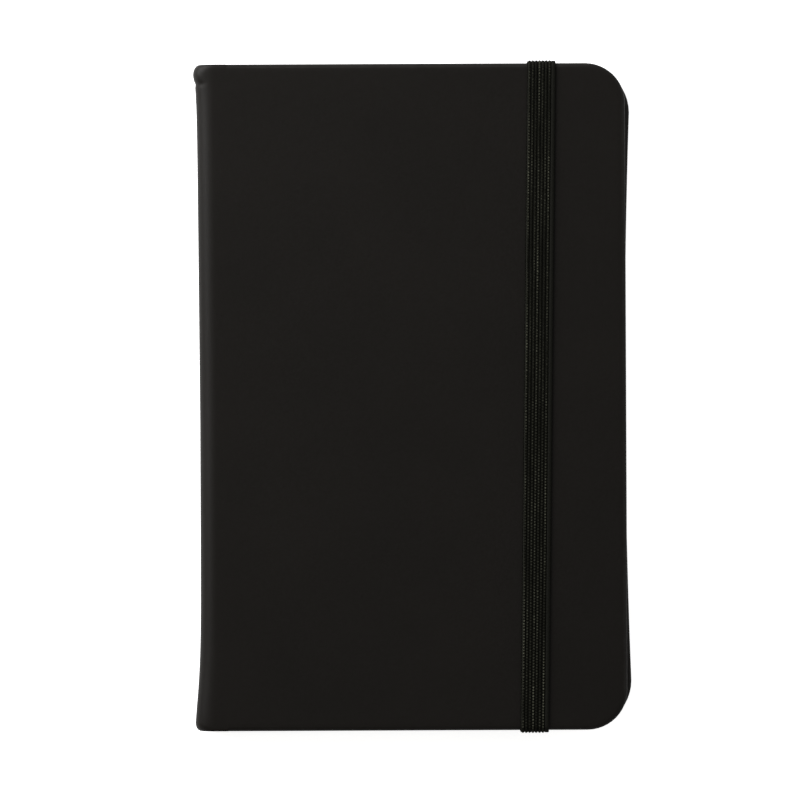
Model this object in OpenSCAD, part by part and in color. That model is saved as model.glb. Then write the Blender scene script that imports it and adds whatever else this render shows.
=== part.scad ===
// Pocket notebook: a case-bound, thread-sewn book with an elastic closure band.
// It lies on its back cover, z = 0 is the table, +Y is the head, the spine is at -X.

/* [Cover] */
// Overall width of the closed book, spine to fore edge
cover_w = 90; // [84:1:100]
// Overall height, head to tail
cover_h = 140; // [130:2:160]
// Radius of the two fore-edge corners of each cover
cover_corner_r = 9; // [6:0.5:12]
// How much shorter the front cover is than the back one at the fore edge
front_cover_short = 0.6; // [0:0.1:1]
// Thickness of the imitation leather
skin_t = 0.8; // [0.5:0.1:1]
// Thickness of the grey board
board_t = 1.5; // [1:0.1:2.5]
// Width of the leather turned in round the board
turn_in_w = 12; // [8:1:14]
// Thickness of the pressed turn-in
turn_in_t = 0.3; // [0.2:0.05:0.5]
// Outer radius of the leather where it rolls from spine to cover
roll_r = 3.6; // [2.6:0.1:4]
// Distance from the endpaper fold to the edge of each board
joint_gap = 3.8; // [2.4:0.1:4.5]

/* [Book block] */
// Number of sewn gatherings
gatherings = 12; // [12]
// Leaves in one gathering
leaves_per_gathering = 8; // [8]
// Leaves at the front that turn with the cover, each a sheet of its own
turning_leaves = 4; // [4]
// Thickness of one leaf
leaf_t = 0.1; // [0.08:0.01:0.12]
// Thickness of the endpapers
endpaper_t = 0.15; // [0.12:0.01:0.2]
// How far the covers stand out beyond the leaves
square_w = 3; // [2:0.5:5]
// Corner radius of the leaves
leaf_corner_r = 7; // [4:0.5:9]
// Sewing stations along the spine
sewing_stations = 6; // [4:1:8]

/* [Elastic band] */
// Width of the band
band_w = 5.8; // [4:0.2:8]
// Thickness of the band
band_t = 0.6; // [0.4:0.05:0.7]
// Distance of the band's middle from the middle of the book
band_x = 25.8; // [15:0.1:30]
// Angle of the band to the fore edge, in degrees
band_skew = 0.7; // [0:0.05:0.8]
// Distance of the band's slots from the head and tail edges
slot_inset = 13; // [12.8:0.1:16]
// Length of the band's glued ends inside the cover
glued_end = 12; // [8:1:16]

/* [Hidden] */
$fn = 64;
// Slack of a cut beyond the surface that it opens
cut = 1;

half_w = cover_w / 2;
half_h = cover_h / 2;
cover_t = skin_t + board_t + endpaper_t;
gathering_t = leaves_per_gathering * leaf_t;
block_t = gatherings * gathering_t;
flyleaf_low = cover_t;
block_low = flyleaf_low + endpaper_t;
block_top = block_low + block_t;
fold_z = block_top + endpaper_t;
book_t = fold_z + cover_t;

// Layers of the spine, from the outside in
stiffener_t = 0.4;
spine_lap_t = 0.35;
lining_t = 0.15;
mull_t = 0.15;
thread_r = 0.15;
spine_x = -half_w;
stiffener_x = spine_x + skin_t;
lining_x = stiffener_x + stiffener_t;
mull_x = lining_x + lining_t;
thread_x = mull_x + mull_t + thread_r;
fold_x = thread_x + thread_r;

roll_x = spine_x + roll_r;
board_x = fold_x + joint_gap;
back_fore_x = half_w;
front_fore_x = half_w - front_cover_short;
leaf_fore_x = half_w - square_w;
leaf_half_h = half_h - square_w;
roll_low_z = roll_r;
roll_top_z = book_t - roll_r;

// Inner parts of the spine stay below the swing of the opened cover
spine_clear = 0.85;
spine_part_low = block_low + 0.2;
spine_part_top = fold_z - spine_clear;
spine_part_h = spine_part_top - spine_part_low;
lining_half_h = half_h - turn_in_w - 2;

bead_r = 0.7;
bead_gap = 0.05;
bead_tape_t = 0.12;
bead_tape_h = 6;

band_gap = 0.05;
// Small enough to clear the sharp edge of the front cover
band_inner_r = 0.1;
band_top = book_t + band_t + band_gap;
channel_clear = 0.1;
slot_y = half_h - slot_inset;

leather_colour = [0.035, 0.033, 0.031];
board_colour = [0.45, 0.43, 0.4];
paper_colour = [0.93, 0.9, 0.8];
endpaper_colour = [0.9, 0.87, 0.78];
cloth_colour = [0.85, 0.83, 0.78];
kraft_colour = [0.6, 0.45, 0.3];
elastic_colour = [0.02, 0.02, 0.02];

// ---- Shared shapes -------------------------------------------------------

// A sheet from x0 to x1, centred on y = 0, with its two +X corners rounded
module sheet_outline(x0, x1, half_height, corner_r) {
    translate([x0, -half_height])
        square([x1 - x0 - corner_r, 2 * half_height]);
    translate([x1 - corner_r, corner_r - half_height])
        square([corner_r, 2 * (half_height - corner_r)]);
    for (side = [-1, 1])
        translate([x1 - corner_r, side * (half_height - corner_r)])
            circle(r = corner_r);
}

module sheet(level, thickness, x0, x1, half_height, corner_r) {
    translate([0, 0, level])
        linear_extrude(thickness)
            sheet_outline(x0, x1, half_height, corner_r);
}

// Turns a part drawn for the back cover over, onto the front of the book
module on_front() {
    translate([0, 0, book_t]) mirror([0, 0, 1]) children();
}

// Middle of a cover, inside the turned-in leather
module inside_turn_in(level, thickness, fore_x, x0) {
    sheet(level, thickness, x0, fore_x - turn_in_w, half_h - turn_in_w, 1);
}

// Leather of one cover: outer face, wrapped edges and turn-in on three sides
module cover_skin(fore_x) {
    rim_t = board_t - turn_in_t;
    difference() {
        sheet(0, skin_t + board_t, board_x, fore_x, half_h, cover_corner_r);
        sheet(skin_t, rim_t, board_x - cut, fore_x - skin_t, half_h - skin_t,
            cover_corner_r - skin_t);
        inside_turn_in(skin_t, board_t + cut, fore_x, board_x - cut);
    }
}

// Board of one cover, pressed thinner under the turn-in
module cover_board(fore_x) {
    rim_t = board_t - turn_in_t;
    sheet(skin_t, rim_t, board_x, fore_x - skin_t, half_h - skin_t, cover_corner_r - skin_t);
    inside_turn_in(skin_t + rim_t, turn_in_t, fore_x, board_x);
}

// Endpaper glued to the inside of a cover, from the fold to near the edges
module pastedown(fore_x) {
    sheet(skin_t + board_t, endpaper_t, fold_x, fore_x - square_w, half_h - square_w,
        leaf_corner_r - 1);
}

// Leather roll between spine and cover, with its turned-in ends
module leather_roll() {
    lap_r = roll_r - skin_t - spine_lap_t;
    translate([roll_x, 0, roll_low_z])
        rotate([90, 0, 0]) {
            quarter_ring(roll_r, roll_r - skin_t, half_h);
            for (end = [-1, 1])
                translate([0, 0, end * (half_h - turn_in_w / 2)])
                    quarter_ring(roll_r - skin_t, lap_r, turn_in_w / 2);
        }
    translate([roll_x, -half_h, 0])
        cube([board_x - roll_x, cover_h, skin_t]);
}

// Quarter of a tube in the -X, -Y quadrant, centred on z = 0
module quarter_ring(outer_r, inner_r, half_length) {
    translate([0, 0, -half_length])
        linear_extrude(2 * half_length)
            intersection() {
                difference() {
                    circle(r = outer_r);
                    circle(r = inner_r);
                }
                translate([-outer_r, -outer_r]) square(outer_r);
            }
}

// One folded and sewn gathering: flat leaves with a rounded fold at the spine
module gathering(level, thickness) {
    fold_r = thickness / 2;
    sheet(level, thickness, fold_x + fold_r, leaf_fore_x, leaf_half_h, leaf_corner_r);
    translate([fold_x + fold_r, leaf_half_h, level + fold_r])
        rotate([90, 0, 0])
            cylinder(r = fold_r, h = 2 * leaf_half_h);
}

module spine_strip(x, thickness, half_height, low, top) {
    translate([x, -half_height, low])
        cube([thickness, 2 * half_height, top - low]);
}

// Rolled cord and glued tape that cover the folds at one end of the spine
module end_band() {
    translate([fold_x + bead_r, leaf_half_h + bead_gap + bead_r, spine_part_low])
        cylinder(r = bead_r, h = spine_part_h);
    translate([fold_x - bead_tape_t, leaf_half_h - bead_tape_h, spine_part_low])
        cube([bead_tape_t, bead_tape_h + bead_gap + bead_r, spine_part_h]);
    translate([fold_x - bead_tape_t, leaf_half_h + bead_gap, spine_part_low])
        cube([bead_tape_t + bead_r, bead_r, spine_part_h]);
}

// Places a band profile drawn in the Y-Z plane, with extra width each side
module along_band(extra = 0) {
    width = band_w + 2 * extra;
    translate([band_x, 0, 0])
        rotate([0, 0, -band_skew])
            translate([-width / 2, 0, 0])
                rotate([90, 0, 90])
                    linear_extrude(width)
                        children();
}

// Fixed end of the band: outside run, the turn through the slot, the glued end
module band_end_profile() {
    inner_y = slot_y - glued_end;
    board_top = skin_t + board_t;
    translate([slot_y - band_t, 0])
        square([half_h + band_gap - slot_y + band_t, band_t]);
    translate([slot_y - band_t, 0])
        square([band_t, board_top]);
    translate([inner_y, board_top - band_t])
        square([slot_y - inner_y, band_t]);
}

// Room for that end: channel, slot and recess
module band_end_room() {
    inner_y = slot_y - glued_end;
    board_top = skin_t + board_t;
    translate([slot_y - band_t - channel_clear, -cut])
        square([half_h - slot_y + band_t + channel_clear + cut, band_t + cut]);
    translate([slot_y - band_t - channel_clear, -cut])
        square([band_t + 2 * channel_clear, board_top + 2 * cut]);
    translate([inner_y - channel_clear, board_top - band_t])
        square([slot_y - inner_y, band_t + cut]);
}

module band_room() {
    along_band(channel_clear) {
        band_end_room();
        mirror([1, 0]) band_end_room();
    }
}

// ---- Back cover ----------------------------------------------------------

module back_cover_skin() {
    color(leather_colour)
        difference() {
            cover_skin(back_fore_x);
            band_room();
        }
}

module back_board() {
    color(board_colour)
        difference() {
            cover_board(back_fore_x);
            band_room();
        }
}

module back_pastedown() {
    color(endpaper_colour) pastedown(back_fore_x);
}

module back_flyleaf() {
    color(endpaper_colour)
        sheet(flyleaf_low, endpaper_t, fold_x, leaf_fore_x, leaf_half_h, leaf_corner_r);
}

// ---- Spine ---------------------------------------------------------------

module spine_leather() {
    lap_x = lining_x;
    lap_h = turn_in_w - skin_t;
    color(leather_colour) {
        spine_strip(spine_x, skin_t, half_h, roll_low_z, roll_top_z);
        leather_roll();
        for (end = [-1, 1]) {
            // lip over the end of the stiffener
            translate([stiffener_x, end * (half_h - skin_t / 2) - skin_t / 2, roll_low_z])
                cube([stiffener_t + spine_lap_t, skin_t, roll_top_z - roll_low_z]);
            // lap turned in behind it
            translate([lap_x, end * (half_h - skin_t - lap_h / 2) - lap_h / 2, roll_low_z])
                cube([spine_lap_t, lap_h, roll_top_z - roll_low_z]);
        }
    }
}

module spine_stiffener() {
    color(board_colour)
        spine_strip(stiffener_x, stiffener_t, half_h - skin_t, roll_low_z, roll_top_z);
}

module spine_lining() {
    color(kraft_colour)
        spine_strip(lining_x, lining_t, lining_half_h, spine_part_low, spine_part_top);
}

module mull_cloth() {
    color(cloth_colour)
        spine_strip(mull_x, mull_t, lining_half_h, spine_part_low, spine_part_top);
}

module headband() {
    color(leather_colour) end_band();
}

module tailband() {
    color(leather_colour) mirror([0, 1, 0]) end_band();
}

// Linen thread that crosses the folds at each sewing station
module sewing_thread() {
    span = 2 * (lining_half_h - 6);
    pitch = span / (sewing_stations - 1);
    color(cloth_colour)
        for (i = [0 : sewing_stations - 1])
            translate([thread_x, -span / 2 + i * pitch, spine_part_low])
                cylinder(r = thread_r, h = spine_part_h);
}

// ---- Book block ----------------------------------------------------------

// Gathering 1 is at the front; its first leaves are sheets of their own
module signature(number) {
    top = block_top - (number - 1) * gathering_t;
    thickness = number == 1 ? gathering_t - turning_leaves * leaf_t : gathering_t;
    low = top - gathering_t;
    color(paper_colour) gathering(low, thickness);
}

module leaf(number) {
    color(paper_colour)
        sheet(block_top - number * leaf_t, leaf_t, fold_x, leaf_fore_x, leaf_half_h,
            leaf_corner_r);
}

// ---- Front cover ---------------------------------------------------------

module front_flyleaf() {
    color(endpaper_colour)
        sheet(block_top, endpaper_t, fold_x, leaf_fore_x, leaf_half_h, leaf_corner_r);
}

module front_pastedown() {
    color(endpaper_colour) on_front() pastedown(front_fore_x);
}

module front_board() {
    color(board_colour) on_front() cover_board(front_fore_x);
}

module front_cover_skin() {
    color(leather_colour) on_front() cover_skin(front_fore_x);
}

// Flexible strip between the spine and the front cover
module front_joint_leather() {
    color(leather_colour) on_front() leather_roll();
}

// ---- Elastic band --------------------------------------------------------

// Loop round the closed book, from back edge to back edge
module elastic_band() {
    outer_y = half_h + band_gap + band_t;
    color(elastic_colour)
        along_band()
            difference() {
                band_arch(outer_y, band_top, band_t);
                band_arch(outer_y - band_t, band_top - band_t, band_inner_r);
            }
}

// Arch of a given half width and height, standing on the Y axis
module band_arch(half_width, height, corner_r) {
    translate([-half_width, 0])
        square([2 * half_width, height - corner_r]);
    translate([corner_r - half_width, 0])
        square([2 * (half_width - corner_r), height]);
    for (side = [-1, 1])
        translate([side * (half_width - corner_r), height - corner_r])
            circle(r = corner_r);
}

module band_end_head() {
    color(elastic_colour) along_band() band_end_profile();
}

module band_end_tail() {
    color(elastic_colour) along_band() mirror([1, 0]) band_end_profile();
}

// ---- Parts by name -------------------------------------------------------

back_cover_skin();
back_board();
back_pastedown();
back_flyleaf();
spine_leather();
spine_stiffener();
spine_lining();
mull_cloth();
headband();
tailband();
sewing_thread();
signature(1);  // signature_01
signature(2);  // signature_02
signature(3);  // signature_03
signature(4);  // signature_04
signature(5);  // signature_05
signature(6);  // signature_06
signature(7);  // signature_07
signature(8);  // signature_08
signature(9);  // signature_09
signature(10);  // signature_10
signature(11);  // signature_11
signature(12);  // signature_12
leaf(1);  // leaf_1
leaf(2);  // leaf_2
leaf(3);  // leaf_3
leaf(4);  // leaf_4
front_flyleaf();
front_pastedown();
front_board();
front_cover_skin();
front_joint_leather();
elastic_band();
band_end_head();
band_end_tail();
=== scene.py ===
"""Looks of the pocket notebook: leather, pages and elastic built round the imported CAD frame.

Shapes are worked out in millimetres and scaled to metres when a mesh is made. The book lies on its back
cover: +Z is up, +Y is towards the head and the spine is at -X.
"""

import math
import random

import bmesh
import bpy
import numpy as np
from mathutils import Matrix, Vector


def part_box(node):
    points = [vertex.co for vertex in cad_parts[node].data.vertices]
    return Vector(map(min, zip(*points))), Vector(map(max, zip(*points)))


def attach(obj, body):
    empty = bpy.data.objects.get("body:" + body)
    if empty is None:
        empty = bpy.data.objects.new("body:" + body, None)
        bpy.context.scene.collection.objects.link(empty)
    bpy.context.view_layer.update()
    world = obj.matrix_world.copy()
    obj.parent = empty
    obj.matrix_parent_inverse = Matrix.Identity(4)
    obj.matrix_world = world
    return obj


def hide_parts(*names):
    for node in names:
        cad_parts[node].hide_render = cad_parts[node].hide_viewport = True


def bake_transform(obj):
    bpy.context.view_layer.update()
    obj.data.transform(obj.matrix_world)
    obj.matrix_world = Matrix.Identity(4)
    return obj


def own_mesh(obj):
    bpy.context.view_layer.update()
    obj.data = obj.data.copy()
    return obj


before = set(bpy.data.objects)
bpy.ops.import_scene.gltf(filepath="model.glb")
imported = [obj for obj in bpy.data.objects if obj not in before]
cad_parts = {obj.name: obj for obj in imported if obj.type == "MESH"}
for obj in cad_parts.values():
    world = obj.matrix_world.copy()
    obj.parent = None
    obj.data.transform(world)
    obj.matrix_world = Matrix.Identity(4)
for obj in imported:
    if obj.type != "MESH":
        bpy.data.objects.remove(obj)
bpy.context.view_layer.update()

MM = 0.001


# ---- Sizes from the frame ---------------------------------------------------


def box_mm(node):
    """Lowest and highest corners of a CAD node, in millimetres."""
    low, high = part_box(node)
    return np.array(low) / MM, np.array(high) / MM


front_low, front_high = box_mm("front_cover_skin")
_, back_high = box_mm("back_cover_skin")
joint_low, joint_high = box_mm("front_joint_leather")
flyleaf_low, flyleaf_high = box_mm("front_flyleaf")
band_low, band_high = box_mm("elastic_band")
band_end_low, band_end_high = box_mm("band_end_head")

HALF_H = back_high[1]
SPINE_X = joint_low[0]
BOARD_X = front_low[0]
FRONT_FORE_X = front_high[0]
BACK_FORE_X = back_high[0]
BOOK_TOP = front_high[2]
COVER_T = back_high[2]
ROLL_R = joint_high[2] - joint_low[2]
FOLD_X = flyleaf_low[0]
LEAF_FORE_X = flyleaf_high[0]
LEAF_HALF_H = flyleaf_high[1]
BAND_X = (band_low[0] + band_high[0]) / 2


# ---- Sizes of the visible detail --------------------------------------------

# Covers
FRONT_CORNER_R = 8.4
BACK_CORNER_R = 10.0
BACK_REACH = 0.55
BACK_HOLLOW = 1.1
EDGE_R = 0.9
INNER_EDGE_R = 0.7
SKIN_T = 0.8
TURN_IN_W = 12.0
TURN_IN_T = 0.3
ARC_STEPS = 12
FORE_SHARES = [1 - 2 * i / 40 for i in range(1, 40)]

# Joint and spine: the leather is thin where it bends and deep, with its turned-in lap, on the spine
STRIP_T = 0.3
ROLL_DEPTH = 0.55
SPINE_DEPTH = 1.55
ROLL_END_W = 1.1
SPINE_END_W = 1.9
ROLL_POWER = 2.4
SPINE_EDGE_W = 0.6
CARD_CLEAR = 1.0
PUCKER_REACH = 8.0
STRIP_ROWS = [
    *np.linspace(-HALF_H, HALF_H - PUCKER_REACH, 54)[:-1],
    *np.linspace(HALF_H - PUCKER_REACH, HALF_H, 27),
]

# Leaves
LEAF_CORNER_R = 7.0
LEAF_T = 0.085
FLYLEAF_T = 0.13
PAGE_ARCH = 3.5
LINE_PITCH = 6.0
LINE_W = 0.14

# Elastic band, with its sides measured from the CAD band's middle line
BAND_LEFT = -2.9
BAND_RIGHT = 3.05
BAND_T = 0.6
BAND_GAP = 0.05
BAND_SKEW = math.radians(0.82)
RIBS = 7
RIB_W = 0.70
RIB_START = 0.16
GROOVE_H = 0.33
RIB_RISE = 0.13
BEAD_RISE = 0.12
WEAVE_PITCH = 0.62
SLOT_Y = HALF_H - 13.0

# Channel that the band lies in on the back cover
CHANNEL_DEPTH = 0.6
CHANNEL_END = HALF_H - 13.7
CHANNEL_HALF_W = 3.2
CHANNEL_X = (band_end_low[0] + band_end_high[0] + BAND_LEFT + BAND_RIGHT) / 2


# ---- Mesh helpers -----------------------------------------------------------


def add_object(name, points, faces, material):
    """A mesh object from points in millimetres."""
    mesh = bpy.data.meshes.new(name)
    mesh.from_pydata([tuple(p) for p in np.asarray(points, float) * MM], [], faces)
    mesh.validate()
    mesh.materials.append(material)
    piece = bpy.data.objects.new(name, mesh)
    bpy.context.scene.collection.objects.link(piece)
    return piece


class Builder:
    """Collects the points and faces of one closed mesh; a ring is a list of point numbers."""

    def __init__(self):
        self.points = []
        self.faces = []

    def ring(self, points):
        start = len(self.points)
        self.points.extend([tuple(float(c) for c in p) for p in points])
        return list(range(start, len(self.points)))

    def face(self, corners):
        self.faces.append(list(corners))

    def loft(self, a, b, closed=True):
        """Quads between two rings of the same length."""
        count = len(a) if closed else len(a) - 1
        for i in range(count):
            j = (i + 1) % len(a)
            self.faces.append([a[i], a[j], b[j], b[i]])

    def sweep(self, rings):
        """Joins a row of closed rings and caps both ends."""
        for a, b in zip(rings, rings[1:]):
            self.loft(a, b)
        self.face(rings[0])
        self.face(rings[-1])

    def box(self, corner_a, corner_b):
        """A box between two corners, given in any order."""
        x0, y0, z0 = np.minimum(corner_a, corner_b)
        x1, y1, z1 = np.maximum(corner_a, corner_b)
        corners = [(x0, y0), (x1, y0), (x1, y1), (x0, y1)]
        self.sweep([self.ring([(x, y, z) for x, y in corners]) for z in (z0, z1)])

    def piece(self, name, material, sharp_angle):
        """A smooth-shaded object of what was collected, with its normals outward."""
        piece = add_object(name, self.points, self.faces, material)
        mesh = piece.data
        shape = bmesh.new()
        shape.from_mesh(mesh)
        bmesh.ops.recalc_face_normals(shape, faces=shape.faces)
        shape.to_mesh(mesh)
        shape.free()
        mesh.shade_smooth()
        mesh.set_sharp_from_angle(angle=math.radians(sharp_angle))
        return piece


def smoothstep(low, high, value):
    t = np.clip((value - low) / (high - low), 0.0, 1.0)
    return t * t * (3 - 2 * t)


def arc(centre, radius, start, end, count):
    """Points on an arc, angles in degrees, both ends included."""
    angles = [math.radians(start + (end - start) * i / count) for i in range(count + 1)]
    return [(centre[0] + radius * math.cos(a), centre[1] + radius * math.sin(a)) for a in angles]


def hump(value, middle, width):
    """A bell of height 1 round a middle."""
    return math.exp(-(((value - middle) / width) ** 2))


# ---- Leather of the covers --------------------------------------------------


def head_shares():
    """Shares of the way from the spine side to the corner, closer together by the band's channel."""
    x_end = BACK_FORE_X - BACK_CORNER_R
    plain = np.linspace(BOARD_X, x_end, 36)
    beside = (-0.35, -0.1, 0.15, 0.45)
    close = [CHANNEL_X + side * (CHANNEL_HALF_W + d) for side in (-1, 1) for d in beside]
    columns = sorted([x for x in plain if all(abs(x - c) > 0.5 for c in close)] + close)
    return [(x - BOARD_X) / (x_end - BOARD_X) for x in columns]


HEAD_SHARES = head_shares()


def rim(fore_x, corner_r, inset, hollow):
    """Outline of a cover from the spine side round the fore edge, as (x, y) points.

    Every inset has the same count of points. The fore edge is hollow by the given depth.
    """
    r = max(corner_r - inset, 0.8)
    half_h = HALF_H - inset
    x_end = fore_x - inset - r
    head = [(BOARD_X + (x_end - BOARD_X) * t, half_h) for t in HEAD_SHARES]
    corner = arc((x_end, half_h - r), r, 90, 0, ARC_STEPS)
    fore = [(fore_x - inset, (half_h - r) * t) for t in FORE_SHARES]
    upper = head[:-1] + corner
    lower = [(x, -y) for x, y in reversed(upper)]
    reach = HALF_H - corner_r
    outline = []
    for x, y in upper + fore + lower:
        depth = hollow * max(0.0, 1 - (y / reach) ** 2)
        outline.append((x - depth * smoothstep(BOARD_X, fore_x, x), y))
    return outline


def plain_face(x, y):
    """Depth of a face without a channel."""
    return 0.0


def channel_face(x, y):
    """Depth of the band's channel, pressed into the back cover from the edge to the slot."""
    wall_in, wall_out = CHANNEL_HALF_W - 0.15, CHANNEL_HALF_W + 0.25
    end_in, end_out = CHANNEL_END - 0.5, CHANNEL_END + 0.1
    middle = BAND_X + (BAND_LEFT + BAND_RIGHT) / 2 + y * math.tan(BAND_SKEW)
    side = 1 - float(smoothstep(wall_in, wall_out, abs(x - middle)))
    end = float(smoothstep(end_in, end_out, abs(y)))
    return CHANNEL_DEPTH * side * end


def edge_dent(face, x, y, z, inset):
    """The channel carried round the rounded edge: full on the outer face, fading up the wall."""
    reach_in, reach_up = 1.2, 1.1
    if inset > reach_in:
        return 0.0
    return face(x, y) * max(0.0, 1 - z / reach_up)


def fill_outline(builder, outline, level, face):
    """Fills a rim with even quads, as a Coons patch; returns the points along the spine side.

    The patch's fore corners are the middles of the rim's two arcs.
    """
    end_count = len(HEAD_SHARES) + ARC_STEPS // 2
    head = outline[:end_count]
    tail = list(reversed(outline[-end_count:]))
    fore = outline[end_count - 1 : 1 - end_count]

    def place(number):
        return np.array(builder.points[number][:2])

    def add_point(x, y):
        return builder.ring([(x, y, level + face(x, y))])[0]

    y_top = place(head[0])[1]
    stretch = y_top / place(fore[0])[1]
    between = [add_point(BOARD_X, place(number)[1] * stretch) for number in fore[1:-1]]
    side = [head[0], *between, tail[0]]
    x0, x1 = place(head[0])[0], place(head[-1])[0]
    columns = [side]
    for top, bottom in zip(head[1:-1], tail[1:-1]):
        u = (place(top)[0] - x0) / (x1 - x0)
        at_head = (1 - u) * place(head[0]) + u * place(head[-1])
        at_tail = (1 - u) * place(tail[0]) + u * place(tail[-1])
        column = []
        for left, right in zip(side[1:-1], fore[1:-1]):
            v = (y_top - place(left)[1]) / (2 * y_top)
            across = (1 - u) * place(left) + u * place(right)
            along = (1 - v) * place(top) + v * place(bottom)
            x, y = across + along - (1 - v) * at_head - v * at_tail
            column.append(add_point(x, y))
        columns.append([top, *column, bottom])
    columns.append(fore)
    for a, b in zip(columns, columns[1:]):
        builder.loft(a, b, closed=False)
    return side


def edge_profile():
    """(inset, height) down the edge of a cover, from the outer face through the turn-in to the inner face."""
    wall_top = COVER_T - INNER_EDGE_R
    pocket_top = COVER_T - TURN_IN_T
    near, far, bevel = 4.0, 8.2, 0.3
    outer = [(EDGE_R * (1 - math.cos(a)), EDGE_R * (1 - math.sin(a))) for a in np.radians(range(90, -1, -18))]
    profile = [*outer, (0.0, wall_top)]
    for a in np.radians([22, 45, 67, 90]):
        profile.append((INNER_EDGE_R * (1 - math.cos(a)), wall_top + INNER_EDGE_R * math.sin(a)))
    profile += [(near, COVER_T), (far, COVER_T), (TURN_IN_W - 0.4, COVER_T), (TURN_IN_W, COVER_T - 0.08)]
    profile += [(TURN_IN_W, pocket_top), (far, pocket_top), (SKIN_T + bevel, pocket_top)]
    profile += [(SKIN_T, pocket_top - bevel), (SKIN_T, SKIN_T + bevel), (SKIN_T + bevel, SKIN_T)]
    return profile


def cover_leather(name, fore_x, corner_r, front, hollow=0.0, face=plain_face):
    """Leather of one cover as a closed shell: outer face, rounded edge, turn-in and inner face.

    It is drawn as the back cover lies, with its outer face down at z = 0, and turned over for the front.
    """
    builder = Builder()
    rings = []
    for inset, z in edge_profile():
        flat = rim(fore_x, corner_r, inset, hollow)
        rings.append(builder.ring([(x, y, z + edge_dent(face, x, y, z, inset)) for x, y in flat]))
    for a, b in zip(rings, rings[1:]):
        builder.loft(a, b, closed=False)
    outer_side = fill_outline(builder, rings[0], 0.0, face)
    inner_side = fill_outline(builder, rings[-1], SKIN_T, plain_face)
    head_hook = [ring[0] for ring in rings]
    tail_hook = [ring[-1] for ring in rings]
    builder.face(outer_side + tail_hook[1:] + inner_side[-2::-1] + head_hook[-2:0:-1])

    # flaps over the end of the board, where the turned-in leather passes it
    for end in (1, -1):
        builder.box(
            (BOARD_X - 0.02, end * (HALF_H - TURN_IN_W), SKIN_T - 0.2),
            (BOARD_X + 0.25, end * (HALF_H - 0.6), COVER_T - 0.1),
        )
    if front:
        builder.points = [(x, y, BOOK_TOP - z) for x, y, z in builder.points]
    return builder.piece(name, LEATHER, sharp_angle=40)


# ---- Leather of the joints and the spine ------------------------------------


def flare(y):
    """How far the spine stands out at y: a slow rise towards the head, and a spread at both ends."""
    everywhere, rise, rise_from, rise_length = 0.15, 0.5, -5, 75
    head_spread, head_reach = 0.6, 6
    tail_spread, tail_reach = 1.3, 11
    slow = rise * np.clip((y - rise_from) / rise_length, 0, 1) ** 1.1
    head = head_spread * np.exp(-((np.abs(HALF_H - y) / head_reach) ** 1.3))
    tail = tail_spread * np.exp(-((np.abs(y + HALF_H) / tail_reach) ** 1.5))
    return everywhere + slow + head + tail


def flared(point):
    """Moves a point out with the spine, less and less towards the boards."""
    x, y, z = point
    share = 1 - smoothstep(SPINE_X + SPINE_EDGE_W, BOARD_X, x)
    return (x - flare(y) * share, y, z)


def pucker(x, y):
    """Depth of the crease, and height of the swelling past it, where the leather is turned in at the head."""
    fade = 2.0
    crease_depth, crease_y, crease_w = 0.16, HALF_H - 4.1, 0.45
    swell_height, swell_y, swell_w = 0.24, HALF_H - 2.3, 1.3
    edge_x = SPINE_X + SPINE_EDGE_W
    on_edge = 1 - float(smoothstep(edge_x, edge_x + fade, x))
    crease = crease_depth * hump(y, crease_y, crease_w)
    swell = swell_height * hump(y, swell_y, swell_w)
    return (crease - swell) * on_edge


def strip_outline(t):
    """Section of the leather strip along the book at share t from roll to spine wall.

    Points are (y, depth); depth runs in from the outer face.
    """
    depth = ROLL_DEPTH + (SPINE_DEPTH - ROLL_DEPTH) * t
    skin = STRIP_T + (SKIN_T - STRIP_T) * t
    end_y = ROLL_END_W + (SPINE_END_W - ROLL_END_W) * t
    end_depth = depth - 0.3
    outer = [(y * (HALF_H - end_y) / HALF_H, 0.0) for y in STRIP_ROWS]
    head = []
    for a in np.radians([20, 40, 60, 80, 90]):
        head.append((HALF_H - end_y * (1 - math.sin(a)), end_depth * (1 - math.cos(a))))
    head += [
        (HALF_H - 0.12, depth - 0.12),
        (HALF_H - 0.4, depth),
        (HALF_H - TURN_IN_W / 2, depth),
        (HALF_H - TURN_IN_W + 0.3, depth),
        (HALF_H - TURN_IN_W, skin + 0.1),
        (HALF_H - TURN_IN_W - 0.3, skin),
    ]
    inner = [(y * (HALF_H - TURN_IN_W - 0.5) / HALF_H, skin) for y in reversed(STRIP_ROWS)]
    tail = [(-y, d) for y, d in reversed(head)]
    return outer + head + inner + tail


def leather_strip(name, path):
    """Sweeps the strip's section along a path of ((x, z), inward normal), as a closed mesh."""
    builder = Builder()
    rings = []
    for (x, z), (nx, nz) in path:
        share = 1 - float(smoothstep(SPINE_X, SPINE_X + ROLL_R, x))
        ring = []
        for y, depth in strip_outline(share):
            depth += pucker(x, y)
            ring.append(flared((x + nx * depth, y, z + nz * depth)))
        rings.append(builder.ring(ring))
    builder.sweep(rings)
    return builder.piece(name, LEATHER, sharp_angle=60)


def roll_path(front, start, end, count):
    """Curve of the leather roll from start to end degrees; 0 is at the spine wall, 90 at the cover.

    It is a superellipse, which runs into the cover more softly than an arc does.
    """
    path = []
    for i in range(count + 1):
        a = math.radians(start + (end - start) * i / count)
        across, up = max(math.cos(a), 0.0) ** (2 / ROLL_POWER), math.sin(a) ** (2 / ROLL_POWER)
        normal = np.array([across ** (ROLL_POWER - 1), -(up ** (ROLL_POWER - 1))])
        nx, nz = normal / np.linalg.norm(normal)
        x = SPINE_X + ROLL_R * (1 - across)
        rise = ROLL_R * (up - 1)
        if front:
            path.append(((x, BOOK_TOP + rise), (nx, nz)))
        else:
            path.append(((x, -rise), (nx, -nz)))
    return path


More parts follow.
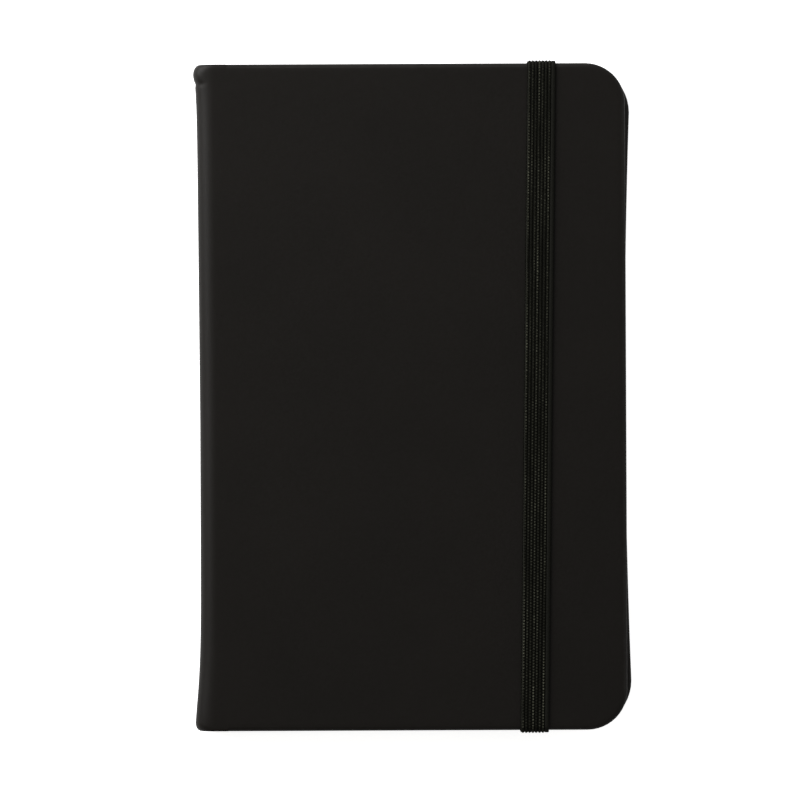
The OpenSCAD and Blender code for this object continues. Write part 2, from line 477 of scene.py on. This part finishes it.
def build_leather():
    front = cover_leather("front_cover_leather", FRONT_FORE_X, FRONT_CORNER_R, front=True)
    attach(front, "front_cover")
    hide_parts("front_cover_skin")

    fore_x = BACK_FORE_X + BACK_REACH
    back = cover_leather("back_cover_leather", fore_x, BACK_CORNER_R, False, BACK_HOLLOW, channel_face)
    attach(back, "book_block")
    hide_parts("back_cover_skin")

    wall_top = BOOK_TOP - ROLL_R
    rear = [((BOARD_X, 0.0), (0.0, 1.0))] + list(reversed(roll_path(False, 0, 90, 16)))
    wall = [((SPINE_X, ROLL_R + (wall_top - ROLL_R) * i / 4), (1.0, 0.0)) for i in range(1, 5)]
    spine = leather_strip("spine_and_rear_joint_leather", rear + wall)
    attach(spine, "book_block")
    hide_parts("spine_leather")

    # the front joint is made as two strips, split halfway round the roll
    lower_path = roll_path(True, 0, 45, 10)
    upper_path = roll_path(True, 45, 90, 10) + [((BOARD_X, BOOK_TOP), (0.0, -1.0))]
    lower = leather_strip("front_joint_leather_lower", lower_path)
    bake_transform(lower)
    upper = leather_strip("front_joint_leather_upper", upper_path)
    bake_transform(upper)
    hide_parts("front_joint_leather")


def build_spine_card():
    """The card in the spine, which follows the spread of the leather at the head and the tail."""
    low, high = box_mm("spine_stiffener")
    end_y = min(high[1], HALF_H - 1.2)
    top = high[2] - CARD_CLEAR
    builder = Builder()
    rings = []
    for i in range(41):
        y = -end_y + 2 * end_y * i / 40
        x0, x1 = low[0] - flare(y), high[0] - flare(y)
        rings.append(builder.ring([(x0, y, low[2]), (x1, y, low[2]), (x1, y, top), (x0, y, top)]))
    builder.sweep(rings)
    piece = builder.piece("spine_stiffener_card", BOARD, sharp_angle=40)
    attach(piece, "book_block")
    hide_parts("spine_stiffener")


# ---- Book block -------------------------------------------------------------


def leaf_stations(columns, fore_x):
    """(x, half height) stations of a leaf from the spine side to the fore edge."""
    corner = arc((fore_x - LEAF_CORNER_R, LEAF_HALF_H - LEAF_CORNER_R), LEAF_CORNER_R, 90, 0, 8)
    return [(x, LEAF_HALF_H) for x in columns] + corner


def sweep_leaf(builder, path, thickness):
    """A closed sheet along a path of (x, z, normal x, normal z, half height)."""
    half_t = thickness / 2
    rings = []
    for x, z, nx, nz, half_h in path:
        outer = (x + nx * half_t, z + nz * half_t)
        inner = (x - nx * half_t, z - nz * half_t)
        corners = [(outer, -half_h), (outer, half_h), (inner, half_h), (inner, -half_h)]
        rings.append(builder.ring([(px, y, pz) for (px, pz), y in corners]))
    builder.sweep(rings)


def turn_columns():
    """Columns of a leaf, close together over the first PAGE_ARCH millimetres from the fold."""
    near = [FOLD_X + PAGE_ARCH * i / 30 for i in range(31)]
    far = [FOLD_X + PAGE_ARCH + (LEAF_FORE_X - FOLD_X - PAGE_ARCH) * i / 8 for i in range(1, 8)]
    return near + far


def flat_leaf(builder, z, thickness, jitter=0.0, inset=0.0):
    stations = leaf_stations(turn_columns(), LEAF_FORE_X + jitter)
    sweep_leaf(builder, [(x, z, 0.0, 1.0, half_h - inset) for x, half_h in stations], thickness)


def folded_sheet(builder, low, high, fold_x, jitters, insets):
    """A sheet folded round the sewing: two leaves joined by a half-round fold that starts at fold_x."""
    r = (high - low) / 2
    fold = fold_x + r + LEAF_T / 2
    near, middle = fold + 10, 0.0
    columns = [fold, near, middle]
    upper = leaf_stations(columns, LEAF_FORE_X + jitters[0])
    lower = leaf_stations(columns, LEAF_FORE_X + jitters[1])
    path = [(x, high, 0.0, 1.0, half_h - insets[0]) for x, half_h in reversed(upper)]
    for i in range(1, 6):
        a = math.radians(90 + 180 * i / 6)
        nx, nz = math.cos(a), math.sin(a)
        path.append((fold + r * nx, low + r + r * nz, nx, nz, LEAF_HALF_H))
    path += [(x, low, 0.0, -1.0, half_h - insets[1]) for x, half_h in lower]
    sweep_leaf(builder, path, LEAF_T)


def turn_with_cover(piece, node):
    """Hides the leaf's CAD node and bakes the piece's transform into its mesh."""
    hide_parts(node)
    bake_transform(piece)


def build_pages():
    """The gatherings, sheet by sheet, and the leaves that turn; their edges are a little uneven."""
    rng = random.Random(14)

    def jitter():
        return rng.uniform(-0.045, 0.045)

    def inset():
        return rng.uniform(0.0, 0.07)

    gatherings = []
    for number in range(2, 13):
        node = f"signature_{number:02d}"
        low, high = box_mm(node)
        pitch = (high[2] - low[2]) / 8
        builder = Builder()
        for k in range(4):
            bottom, top = low[2] + (k + 0.5) * pitch, high[2] - (k + 0.5) * pitch
            jitters = (jitter(), jitter())
            insets = (inset(), inset())
            folded_sheet(builder, bottom, top, FOLD_X + k * pitch, jitters, insets)
        gatherings.append((node, builder))

    # the other halves of the first gathering's sheets are the four leaves that turn
    low, high = box_mm("signature_01")
    pitch = (high[2] - low[2]) / 4
    builder = Builder()
    for k in range(4):
        flat_leaf(builder, low[2] + (k + 0.5) * pitch, LEAF_T, jitter(), inset())
    gatherings.append(("signature_01", builder))

    for node, builder in gatherings:
        piece = builder.piece(f"pages_{node}", PAGE, sharp_angle=40)
        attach(piece, "book_block")
        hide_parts(node)

    for number in range(1, 5):
        node = f"leaf_{number}"
        low, high = box_mm(node)
        builder = Builder()
        flat_leaf(builder, (low[2] + high[2]) / 2, LEAF_T, jitter(), inset())
        turn_with_cover(builder.piece(f"page_{node}", PAGE, sharp_angle=40), node)

    builder = Builder()
    flat_leaf(builder, (flyleaf_low[2] + flyleaf_high[2]) / 2, FLYLEAF_T)
    piece = builder.piece("front_flyleaf_paper", ENDPAPER, sharp_angle=40)
    turn_with_cover(piece, "front_flyleaf")


def build_end_band(name, node, side):
    """A rolled end band: a cord wound with thread, and its tape on the spine."""
    low, high = box_mm("headband")
    radius, winding = 0.63, 0.06
    turns, steps_per_turn, tape_t = 22, 8, 0.12
    centre_x, centre_y = high[0] - 0.7, high[1] - 0.7
    samples = turns * steps_per_turn
    builder = Builder()
    rings = []
    for i in range(samples + 1):
        t = i / samples
        z = low[2] + (high[2] - low[2]) * t
        ring = []
        for k in range(16):
            a = 2 * math.pi * k / 16
            r = radius + winding * abs(math.sin(math.pi * turns * t + a / 2))
            ring.append((centre_x + r * math.cos(a), side * (centre_y + r * math.sin(a)), z))
        rings.append(builder.ring(ring))
    builder.sweep(rings)
    builder.box((low[0], side * low[1], low[2]), (low[0] + tape_t, side * centre_y, high[2]))
    piece = builder.piece(name, END_BAND, sharp_angle=60)
    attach(piece, "book_block")
    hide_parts(node)


# ---- Elastic band -----------------------------------------------------------


def band_section(phase):
    """(across, height) points round the band: beaded ribs, a smooth selvedge and the flat inner face."""
    points = [(BAND_LEFT, 0.30), (BAND_LEFT + 0.08, 0.42)]
    for rib in range(RIBS):
        bead = 0.5 + 0.5 * math.cos(2 * math.pi * (phase + 0.5 * (rib % 2)))
        left = BAND_LEFT + RIB_START + rib * RIB_W
        for share, level in ((0.0, 0.0), (0.25, 0.75), (0.5, 1.0), (0.75, 0.75)):
            rise = GROOVE_H + level * (RIB_RISE + BEAD_RISE * bead)
            points.append((left + share * RIB_W, rise))
    selvedge = BAND_LEFT + RIB_START + RIBS * RIB_W
    points += [(selvedge, 0.34), (selvedge + 0.12, 0.46), (BAND_RIGHT - 0.14, 0.47), (BAND_RIGHT, 0.33)]
    points += [(BAND_RIGHT, 0.06), (BAND_RIGHT - 0.1, 0.0), (BAND_LEFT + 0.1, 0.0), (BAND_LEFT, 0.06)]
    return points


def band_piece(name, path):
    """Sweeps the band's section along a path of ((y, z), (outward y, z)) stations."""
    builder = Builder()
    rings = []
    for (y, z), (ny, nz) in path:
        middle = BAND_X + y * math.tan(BAND_SKEW)
        section = band_section((abs(y) - z + BOOK_TOP) / WEAVE_PITCH)
        ring = [(middle + across, y + ny * height, z + nz * height) for across, height in section]
        rings.append(builder.ring(ring))
    builder.sweep(rings)
    piece = builder.piece(name, ELASTIC, sharp_angle=75)
    return piece


def walk(runs):
    """Evenly spaced ((y, z), outward normal) stations along straight runs and round corners.

    runs: ("line", start, end, normal) or ("arc", centre, radius, start angle, end angle).
    """
    step = WEAVE_PITCH / 4
    stations = []
    for kind, *data in runs:
        if kind == "line":
            start, end, normal = (np.array(d, float) for d in data)
            count = max(1, round(float(np.linalg.norm(end - start)) / step))
            run = [(tuple(start + (end - start) * i / count), tuple(normal)) for i in range(count + 1)]
        else:
            centre, radius, first, second = data
            length = abs(math.radians(second - first)) * (radius + BAND_T / 2)
            count = max(3, round(length / step))
            points = arc(centre, radius, first, second, count)
            run = list(zip(points, arc((0, 0), 1.0, first, second, count)))
        stations += run[:-1]
    return [*stations, run[-1]]


def build_elastic():
    """The loop round the closed book, and its two ends, from the back edge through the slots."""
    side_y = HALF_H + BAND_GAP
    top_z = BOOK_TOP + BAND_GAP
    bend_r, foot_r, slot_r = 1.0, 0.15, 0.35
    foot_y = side_y - foot_r
    end_y = foot_y - 0.6
    foot_z = BAND_T + foot_r
    bend_y, bend_z = side_y - bend_r, top_z - bend_r
    loop = walk(
        [
            ("line", (end_y, BAND_T), (foot_y, BAND_T), (0, -1)),
            ("arc", (foot_y, foot_z), foot_r, -90, 0),
            ("line", (side_y, foot_z), (side_y, bend_z), (1, 0)),
            ("arc", (bend_y, bend_z), bend_r, 0, 90),
            ("line", (bend_y, top_z), (-bend_y, top_z), (0, 1)),
            ("arc", (-bend_y, bend_z), bend_r, 90, 180),
            ("line", (-side_y, bend_z), (-side_y, foot_z), (-1, 0)),
            ("arc", (-foot_y, foot_z), foot_r, 180, 270),
            ("line", (-foot_y, BAND_T), (-end_y, BAND_T), (0, -1)),
        ]
    )
    band = band_piece("elastic_band_loop", loop)
    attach(band, "elastic_band")
    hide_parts("elastic_band")
    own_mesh(band)

    head_run = walk(
        [
            ("line", (SLOT_Y, COVER_T - BAND_GAP), (SLOT_Y, BAND_T + slot_r), (-1, 0)),
            ("arc", (SLOT_Y + slot_r, BAND_T + slot_r), slot_r, 180, 270),
            ("line", (SLOT_Y + slot_r, BAND_T), (end_y, BAND_T), (0, -1)),
        ]
    )
    tail_run = [((-y, z), (-ny, nz)) for (y, z), (ny, nz) in reversed(head_run)]
    for node, run in (("band_end_head", head_run), ("band_end_tail", tail_run)):
        piece = band_piece(f"elastic_{node}", run)
        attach(piece, "book_block")
        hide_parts(node)


# ---- Materials --------------------------------------------------------------


class Finish:
    """A Principled material, with short calls that add nodes to it."""

    def __init__(self, name, roughness, specular):
        self.material = bpy.data.materials.new(name)
        self.material.use_nodes = True
        self.nodes = self.material.node_tree.nodes
        self.shader = self.nodes["Principled BSDF"]
        self.put("Roughness", roughness)
        self.put("Specular IOR Level", specular)
        self.coords = self.nodes.new("ShaderNodeTexCoord").outputs["Object"]

    def feed(self, socket, value):
        """Sets a socket to a number or a colour, or links another node's output to it."""
        if isinstance(value, (int, float)):
            socket.default_value = value
        elif isinstance(value, tuple):
            socket.default_value = (*value, 1.0)
        else:
            self.material.node_tree.links.new(value, socket)

    def put(self, name, value):
        self.feed(self.shader.inputs[name], value)

    def node(self, kind, **inputs):
        """A new node, with inputs by name; an underscore stands for a space."""
        node = self.nodes.new(kind)
        for name, value in inputs.items():
            self.feed(node.inputs[name.replace("_", " ")], value)
        return node

    def noise(self, scale, detail=3.0, roughness=0.5, coords=None):
        node = self.node("ShaderNodeTexNoise", Scale=scale, Detail=detail, Roughness=roughness)
        self.feed(node.inputs["Vector"], self.coords if coords is None else coords)
        return node.outputs["Fac"]

    def remap(self, value, low, high, to_low, to_high):
        node = self.node("ShaderNodeMapRange", Value=value, From_Min=low, From_Max=high)
        self.feed(node.inputs["To Min"], to_low)
        self.feed(node.inputs["To Max"], to_high)
        return node.outputs["Result"]

    def mix(self, factor, colour_a, colour_b):
        """Mixes two colours; each is a tuple or a socket."""
        node = self.nodes.new("ShaderNodeMix")
        node.data_type = "RGBA"
        factor_socket, a_socket, b_socket, result_socket = 0, 6, 7, 2
        self.feed(node.inputs[factor_socket], factor)
        self.feed(node.inputs[a_socket], colour_a)
        self.feed(node.inputs[b_socket], colour_b)
        return node.outputs[result_socket]

    def compute(self, operation, a, b=None):
        node = self.nodes.new("ShaderNodeMath")
        node.operation = operation
        self.feed(node.inputs[0], a)
        if b is not None:
            self.feed(node.inputs[1], b)
        return node.outputs[0]

    def product(self, first, *others):
        for other in others:
            first = self.compute("MULTIPLY", first, other)
        return first

    def bump(self, height, strength, distance, normal=None):
        node = self.node("ShaderNodeBump", Strength=strength, Distance=distance, Height=height)
        if normal is not None:
            self.feed(node.inputs["Normal"], normal)
        return node.outputs["Normal"]

    def split(self):
        """The x, y and z of the object's coordinates, in metres."""
        return self.node("ShaderNodeSeparateXYZ", Vector=self.coords).outputs

    def stretched(self, x, y, z):
        """The object's coordinates scaled along each axis."""
        node = self.node("ShaderNodeMapping", Vector=self.coords)
        node.inputs["Scale"].default_value = (x, y, z)
        return node.outputs[0]


def leather_material():
    """Matte black imitation leather: fine grain, faint mottling, edges worn a little lighter."""
    leather = Finish("cover_leather", roughness=0.5, specular=0.17)
    mottle = leather.noise(55, detail=4)
    grain = leather.noise(2600, detail=2)
    tone = leather.remap(mottle, 0.3, 0.7, 0, 1)
    colour = leather.mix(tone, (0.0040, 0.0031, 0.0022), (0.0050, 0.0039, 0.0029))
    pointiness = leather.node("ShaderNodeNewGeometry").outputs["Pointiness"]
    worn = leather.remap(pointiness, 0.505, 0.56, 0, 1)
    patches = leather.remap(leather.noise(420), 0.35, 0.7, 0.25, 1)
    boards_only = leather.remap(leather.split()[0], (BOARD_X + 3) * MM, (BOARD_X + 8) * MM, 0, 1)
    worn = leather.product(worn, patches, boards_only)
    leather.put("Base Color", leather.mix(worn, colour, (0.010, 0.0088, 0.0074)))
    leather.put("Roughness", leather.remap(grain, 0.3, 0.7, 0.44, 0.54))
    cells = leather.node("ShaderNodeTexVoronoi", Scale=1900, Vector=leather.coords).outputs["Distance"]
    normal = leather.bump(mottle, 0.12, 0.0004)
    normal = leather.bump(cells, 0.10, 0.00006, normal)
    normal = leather.bump(grain, 0.12, 0.00005, normal)
    leather.put("Normal", normal)
    return leather.material


def elastic_material():
    """Black woven elastic: painted shade in the grooves between ribs, a painted glint on each bead that is
    brighter on every third rib, a painted highlight along the left edge, and a plain selvedge.
    """
    elastic = Finish("elastic", roughness=0.65, specular=0.04)
    x, y, z = elastic.split()
    across = elastic.compute("ADD", x, elastic.compute("MULTIPLY", y, -math.tan(BAND_SKEW)))
    across = elastic.compute("ADD", across, -(BAND_X + BAND_LEFT) * MM)
    ribs = elastic.compute("ADD", across, -RIB_START * MM)
    ribs = elastic.compute("DIVIDE", ribs, RIB_W * MM)
    rib_number = elastic.compute("FLOOR", ribs)
    ridge = elastic.compute("SINE", elastic.compute("MULTIPLY", ribs, math.pi))
    ridge = elastic.compute("ABSOLUTE", ridge)
    selvedge = elastic.compute("GREATER_THAN", ribs, RIBS + 0.1)

    along = elastic.compute("SUBTRACT", elastic.compute("ABSOLUTE", y), z)
    along = elastic.compute("ADD", along, BOOK_TOP * MM)
    phase = elastic.compute("MULTIPLY", along, 2 * math.pi / (WEAVE_PITCH * MM))
    stagger = elastic.compute("MULTIPLY", rib_number, math.pi)
    bead = elastic.compute("COSINE", elastic.compute("ADD", phase, stagger))
    bead = elastic.remap(bead, -0.2, 1, 0, 1)
    streaks = elastic.noise(900, detail=2, coords=elastic.stretched(1, 0.06, 0.06))
    streaks = elastic.remap(streaks, 0.38, 0.66, 0.08, 1)
    speckle = elastic.remap(elastic.noise(1900, detail=1), 0.35, 0.65, 0.25, 1.2)
    third = elastic.compute("COSINE", elastic.compute("MULTIPLY", rib_number, 2 * math.pi / 3))
    third = elastic.remap(third, -0.5, 1, 0.5, 1)
    ribs_only = elastic.compute("SUBTRACT", 1.0, selvedge)
    crest = elastic.compute("POWER", ridge, 5.0)
    # Painted glint: a light dot on the crest of each bead, broken up by streaks and specks and brighter on
    # every third rib.
    bead_glint = elastic.product(crest, bead, streaks, speckle, third, ribs_only)

    fibre = elastic.noise(4200)
    fuzz = elastic.remap(fibre, 0.6, 0.85, 0, 0.4)
    # Painted highlight along the band's left edge, the side that faces the main light.
    left_edge_highlight = elastic.compute("LESS_THAN", across, 0.3 * MM)
    left_edge_highlight = elastic.product(left_edge_highlight, elastic.compute("GREATER_THAN", across, 0.12 * MM), 0.8)
    # Painted shade: the grooves between the ribs are coloured darker and the rib crests lighter.
    colour = elastic.mix(ridge, (0.0016, 0.0016, 0.0010), (0.0042, 0.0042, 0.0028))
    # Painted glint colour on the bead crests.
    colour = elastic.mix(bead_glint, colour, (0.100, 0.102, 0.074))
    colour = elastic.mix(fuzz, colour, (0.014, 0.014, 0.012))
    colour = elastic.mix(elastic.product(selvedge, 0.8), colour, (0.0090, 0.0090, 0.0072))
    # Painted highlight on the left edge.
    colour = elastic.mix(left_edge_highlight, colour, (0.021, 0.021, 0.017))
    elastic.put("Base Color", colour)
    elastic.put("Normal", elastic.bump(fibre, 0.35, 0.00006))
    return elastic.material


def paper_material(name, colour, shade, ruled):
    """Uncoated paper with faint fibres and, on writing pages, ruled lines."""
    paper = Finish(name, roughness=0.85, specular=0.3)
    cloud = paper.noise(60, detail=4)
    fibre = paper.noise(3500, detail=2)
    tint = paper.mix(paper.remap(cloud, 0.3, 0.7, 0, 1), colour, shade)
    tint = paper.mix(paper.remap(fibre, 0.6, 0.8, 0, 0.25), tint, tuple(0.8 * c for c in shade))
    if ruled:
        x, y, _ = paper.split()
        pitch = LINE_PITCH * MM
        positive_y = paper.compute("ADD", y, 20 * pitch)
        phase = paper.compute("PINGPONG", positive_y, pitch / 2)
        line = paper.compute("LESS_THAN", phase, LINE_W * MM)
        in_height = paper.compute("LESS_THAN", paper.compute("ABSOLUTE", y), (LEAF_HALF_H - 8) * MM)
        in_width = paper.compute("LESS_THAN", x, (LEAF_FORE_X - 0.4) * MM)
        tint = paper.mix(paper.product(line, in_height, in_width, 0.45), tint, (0.25, 0.27, 0.30))
    paper.put("Base Color", tint)
    paper.put("Normal", paper.bump(fibre, 0.2, 0.00004))
    return paper.material


def board_material():
    """Grey board: pressed waste paper with dark flecks."""
    board = Finish("grey_board", roughness=0.9, specular=0.2)
    fleck = board.noise(1500, detail=5, roughness=0.7)
    cloud = board.remap(board.noise(90), 0.3, 0.7, 0, 1)
    colour = board.mix(cloud, (0.24, 0.22, 0.19), (0.32, 0.30, 0.26))
    colour = board.mix(board.remap(fleck, 0.62, 0.7, 0, 0.7), colour, (0.09, 0.08, 0.07))
    board.put("Base Color", colour)
    board.put("Normal", board.bump(fleck, 0.4, 0.0001))
    return board.material


def kraft_material():
    """Brown kraft paper with long fibres."""
    kraft = Finish("kraft_paper", roughness=0.8, specular=0.3)
    fibre = kraft.noise(2500, detail=4, coords=kraft.stretched(1, 0.15, 1))
    tone = kraft.remap(fibre, 0.3, 0.7, 0, 1)
    kraft.put("Base Color", kraft.mix(tone, (0.22, 0.13, 0.065), (0.33, 0.21, 0.115)))
    kraft.put("Normal", kraft.bump(fibre, 0.3, 0.00006))
    return kraft.material


def woven_material(name, dark, light, pitch):
    """Plain-woven cloth: two crossing sets of threads."""
    cloth = Finish(name, roughness=0.85, specular=0.25)
    _, y, z = cloth.split()
    threads = []
    for coordinate in (y, z):
        wave = cloth.compute("MULTIPLY", coordinate, 2 * math.pi / (pitch * MM))
        threads.append(cloth.compute("ABSOLUTE", cloth.compute("SINE", wave)))
    height = cloth.compute("MAXIMUM", *threads)
    height = cloth.compute("ADD", height, cloth.product(cloth.noise(5000, detail=2), 0.5))
    cloth.put("Base Color", cloth.mix(cloth.remap(height, 0.2, 1.2, 0, 1), dark, light))
    cloth.put("Normal", cloth.bump(height, 0.5, 0.00008))
    return cloth.material


LEATHER = leather_material()
ELASTIC = elastic_material()
PAGE = paper_material("page_paper", (0.75, 0.69, 0.56), (0.69, 0.63, 0.50), ruled=True)
ENDPAPER = paper_material("endpaper", (0.69, 0.62, 0.48), (0.63, 0.56, 0.42), ruled=False)
BOARD = board_material()
KRAFT = kraft_material()
MULL = woven_material("mull", (0.35, 0.32, 0.27), (0.72, 0.69, 0.61), 0.8)
THREAD = woven_material("linen_thread", (0.45, 0.42, 0.36), (0.78, 0.75, 0.67), 0.25)
END_BAND = woven_material("end_band_cloth", (0.006, 0.006, 0.006), (0.03, 0.029, 0.027), 0.3)


def dress_nodes():
    """Gives the CAD nodes that stay their finishes."""
    finishes = {
        "front_board": BOARD,
        "back_board": BOARD,
        "spine_lining": KRAFT,
        "mull_cloth": MULL,
        "sewing_thread": THREAD,
        "front_pastedown": ENDPAPER,
        "back_pastedown": ENDPAPER,
        "back_flyleaf": ENDPAPER,
    }
    for node, material in finishes.items():
        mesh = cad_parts[node].data
        mesh.materials.clear()
        mesh.materials.append(material)


# ---- Floor, light and camera ------------------------------------------------


def build_stage():
    """A pale floor that looks white: it gives off light that only the camera sees."""
    floor = Finish("studio_floor", roughness=0.9, specular=0.1)
    size, glow = 3000, 0.8
    floor.put("Base Color", (0.92, 0.92, 0.92))
    floor.put("Emission Color", (1.0, 1.0, 1.0))
    seen = floor.node("ShaderNodeLightPath").outputs["Is Camera Ray"]
    floor.put("Emission Strength", floor.product(seen, glow))
    corners = [(-size, -size, 0), (size, -size, 0), (size, size, 0), (-size, size, 0)]
    add_object("studio_floor", corners, [[0, 1, 2, 3]], floor.material)


def add_area_light(name, place, size, power):
    """A rectangular light that faces the origin."""
    data = bpy.data.lights.new(name, "AREA")
    data.shape = "RECTANGLE"
    data.size, data.size_y = size
    data.energy = power
    light = bpy.data.objects.new(name, data)
    bpy.context.scene.collection.objects.link(light)
    light.location = place
    light.rotation_mode = "QUATERNION"
    light.rotation_quaternion = Vector(place).to_track_quat("Z", "Y")


def build_light():
    """A strong soft light on the spine side, which draws the joint's highlight, and two weaker ones."""
    bpy.context.scene.view_settings.view_transform = "Standard"
    world = bpy.data.worlds.new("studio")
    bpy.context.scene.world = world
    world.use_nodes = True
    sky = world.node_tree.nodes["Background"]
    sky.inputs["Color"].default_value = (1.0, 0.99, 0.97, 1)
    sky.inputs["Strength"].default_value = 0.28
    add_area_light("left_softbox", (-0.38, 0.29, 0.27), (0.5, 0.5), 5.0)
    add_area_light("right_softbox", (0.9, 0.2, 0.6), (0.8, 0.8), 1.6)
    add_area_light("head_softbox", (0.0, 1.0, 0.9), (1.0, 0.6), 1.0)


def build_camera():
    """Straight above the book, with a lens so long that its sides hardly show."""
    lens, sensor = 400.0, 36.0
    view_w = 167.9 * MM
    aim_x, aim_y, roll = -3.1 * MM, -0.6 * MM, math.radians(-0.25)
    distance = view_w * lens / sensor
    data = bpy.data.cameras.new("camera")
    data.lens = lens
    data.sensor_width = sensor
    data.clip_start, data.clip_end = 0.01, 20
    camera = bpy.data.objects.new("camera", data)
    bpy.context.scene.collection.objects.link(camera)
    camera.location = (aim_x, aim_y, BOOK_TOP * MM + distance)
    camera.rotation_euler = (0, 0, roll)
    bpy.context.scene.camera = camera


build_leather()
build_pages()
build_end_band("headband_cord", "headband", 1)
build_end_band("tailband_cord", "tailband", -1)
build_elastic()
build_spine_card()
dress_nodes()
build_stage()
build_light()
build_camera()
